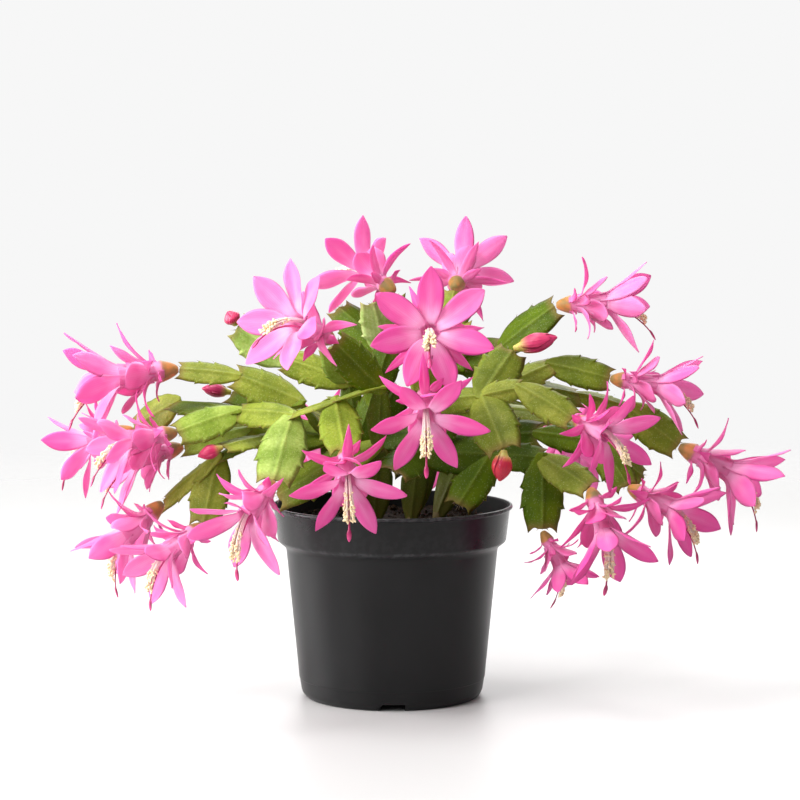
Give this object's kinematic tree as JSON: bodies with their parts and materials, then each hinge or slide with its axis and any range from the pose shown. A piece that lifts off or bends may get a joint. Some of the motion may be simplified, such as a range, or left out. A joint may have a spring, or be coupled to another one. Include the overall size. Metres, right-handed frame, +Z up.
{
  "type": "potted christmas cactus",
  "caption": "Christmas cactus in flower in a round nursery pot: arching chains of flat toothed stem segments, standing in dark soil, end in tiered pink flowers and closed buds.",
  "frame": {"origin": "centre of the pot's underside, on the surface that it stands on", "axes": "+Z up along the pot's axis, -Y towards the side with the front flowers, +X to the right seen from there"},
  "size_m": [0.4051, 0.2812, 0.259],
  "materials": {
    "pot": "black injection-moulded polypropylene, satin, faint radial wear",
    "soil": null,
    "stem": null,
    "petal": "hot pink tepals, satin, translucent, paler at the tube, with an ochre ovary and a crimson style",
    "stamen": "cream filaments and anthers, matte",
    "bud": "red closed tepals, satin, over a yellow-green ovary"
  },
  "bodies": {
    "root": {"pot": "pot", "soil": "soil", "stem_left": "stem", "stem_front_left": "stem", "stem_front_right": "stem", "stem_right": "stem", "stem_back_right": "stem", "stem_back_left": "stem", "bloom_01": "petal", "stamens_01": "stamen", "bloom_02": "petal", "stamens_02": "stamen", "bloom_03": "petal", "stamens_03": "stamen", "bloom_04": "petal", "stamens_04": "stamen", "bloom_05": "petal", "stamens_05": "stamen", "bloom_06": "petal", "stamens_06": "stamen", "bloom_07": "petal", "stamens_07": "stamen", "bloom_08": "petal", "stamens_08": "stamen", "bloom_09": "petal", "stamens_09": "stamen", "bloom_10": "petal", "stamens_10": "stamen", "bloom_11": "petal", "stamens_11": "stamen", "bloom_12": "petal", "stamens_12": "stamen", "bloom_13": "petal", "stamens_13": "stamen", "bloom_15": "petal", "stamens_15": "stamen", "bloom_16": "petal", "stamens_16": "stamen", "bloom_17": "petal", "stamens_17": "stamen", "bloom_18": "petal", "stamens_18": "stamen", "bloom_19": "petal", "stamens_19": "stamen", "bloom_20": "petal", "stamens_20": "stamen", "bloom_21": "petal", "stamens_21": "stamen", "bloom_22": "petal", "stamens_22": "stamen", "bloom_23": "petal", "stamens_23": "stamen", "bloom_24": "petal", "stamens_24": "stamen", "bud_1": "bud", "bud_2": "bud", "bud_3": "bud", "bud_4": "bud", "bud_5": "bud"}
  },
  "joints": []
}
